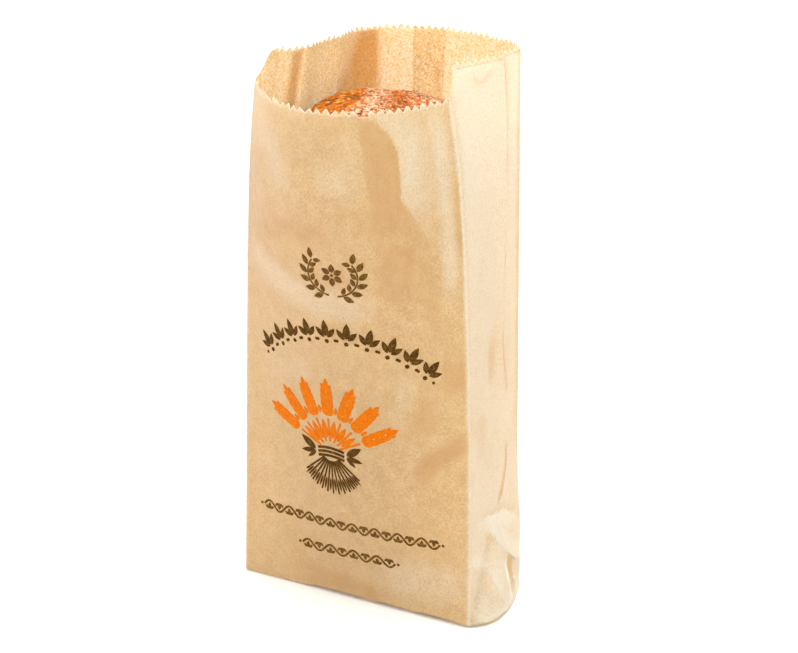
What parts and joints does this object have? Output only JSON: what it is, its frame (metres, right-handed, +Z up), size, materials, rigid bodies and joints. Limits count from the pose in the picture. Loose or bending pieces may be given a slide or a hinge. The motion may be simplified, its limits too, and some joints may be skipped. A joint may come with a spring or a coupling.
{
  "type": "kraft paper bag with loaf",
  "caption": "Gusseted kraft paper bread bag standing open, with a zigzag cut rim lower at the front, a plain flat base and a long crusty loaf inside.",
  "frame": {"origin": "centre of the bounding box in plan, on the plane the base rests on", "axes": "+Z up out of the mouth, -Y out of the printed front panel, +X toward the right gusset seen from the front"},
  "size_m": [0.1688, 0.1322, 0.323],
  "materials": {
    "kraft": "matte",
    "crust": "satin"
  },
  "bodies": {
    "root": {"bag": "kraft", "loaf": "crust"}
  },
  "joints": []
}
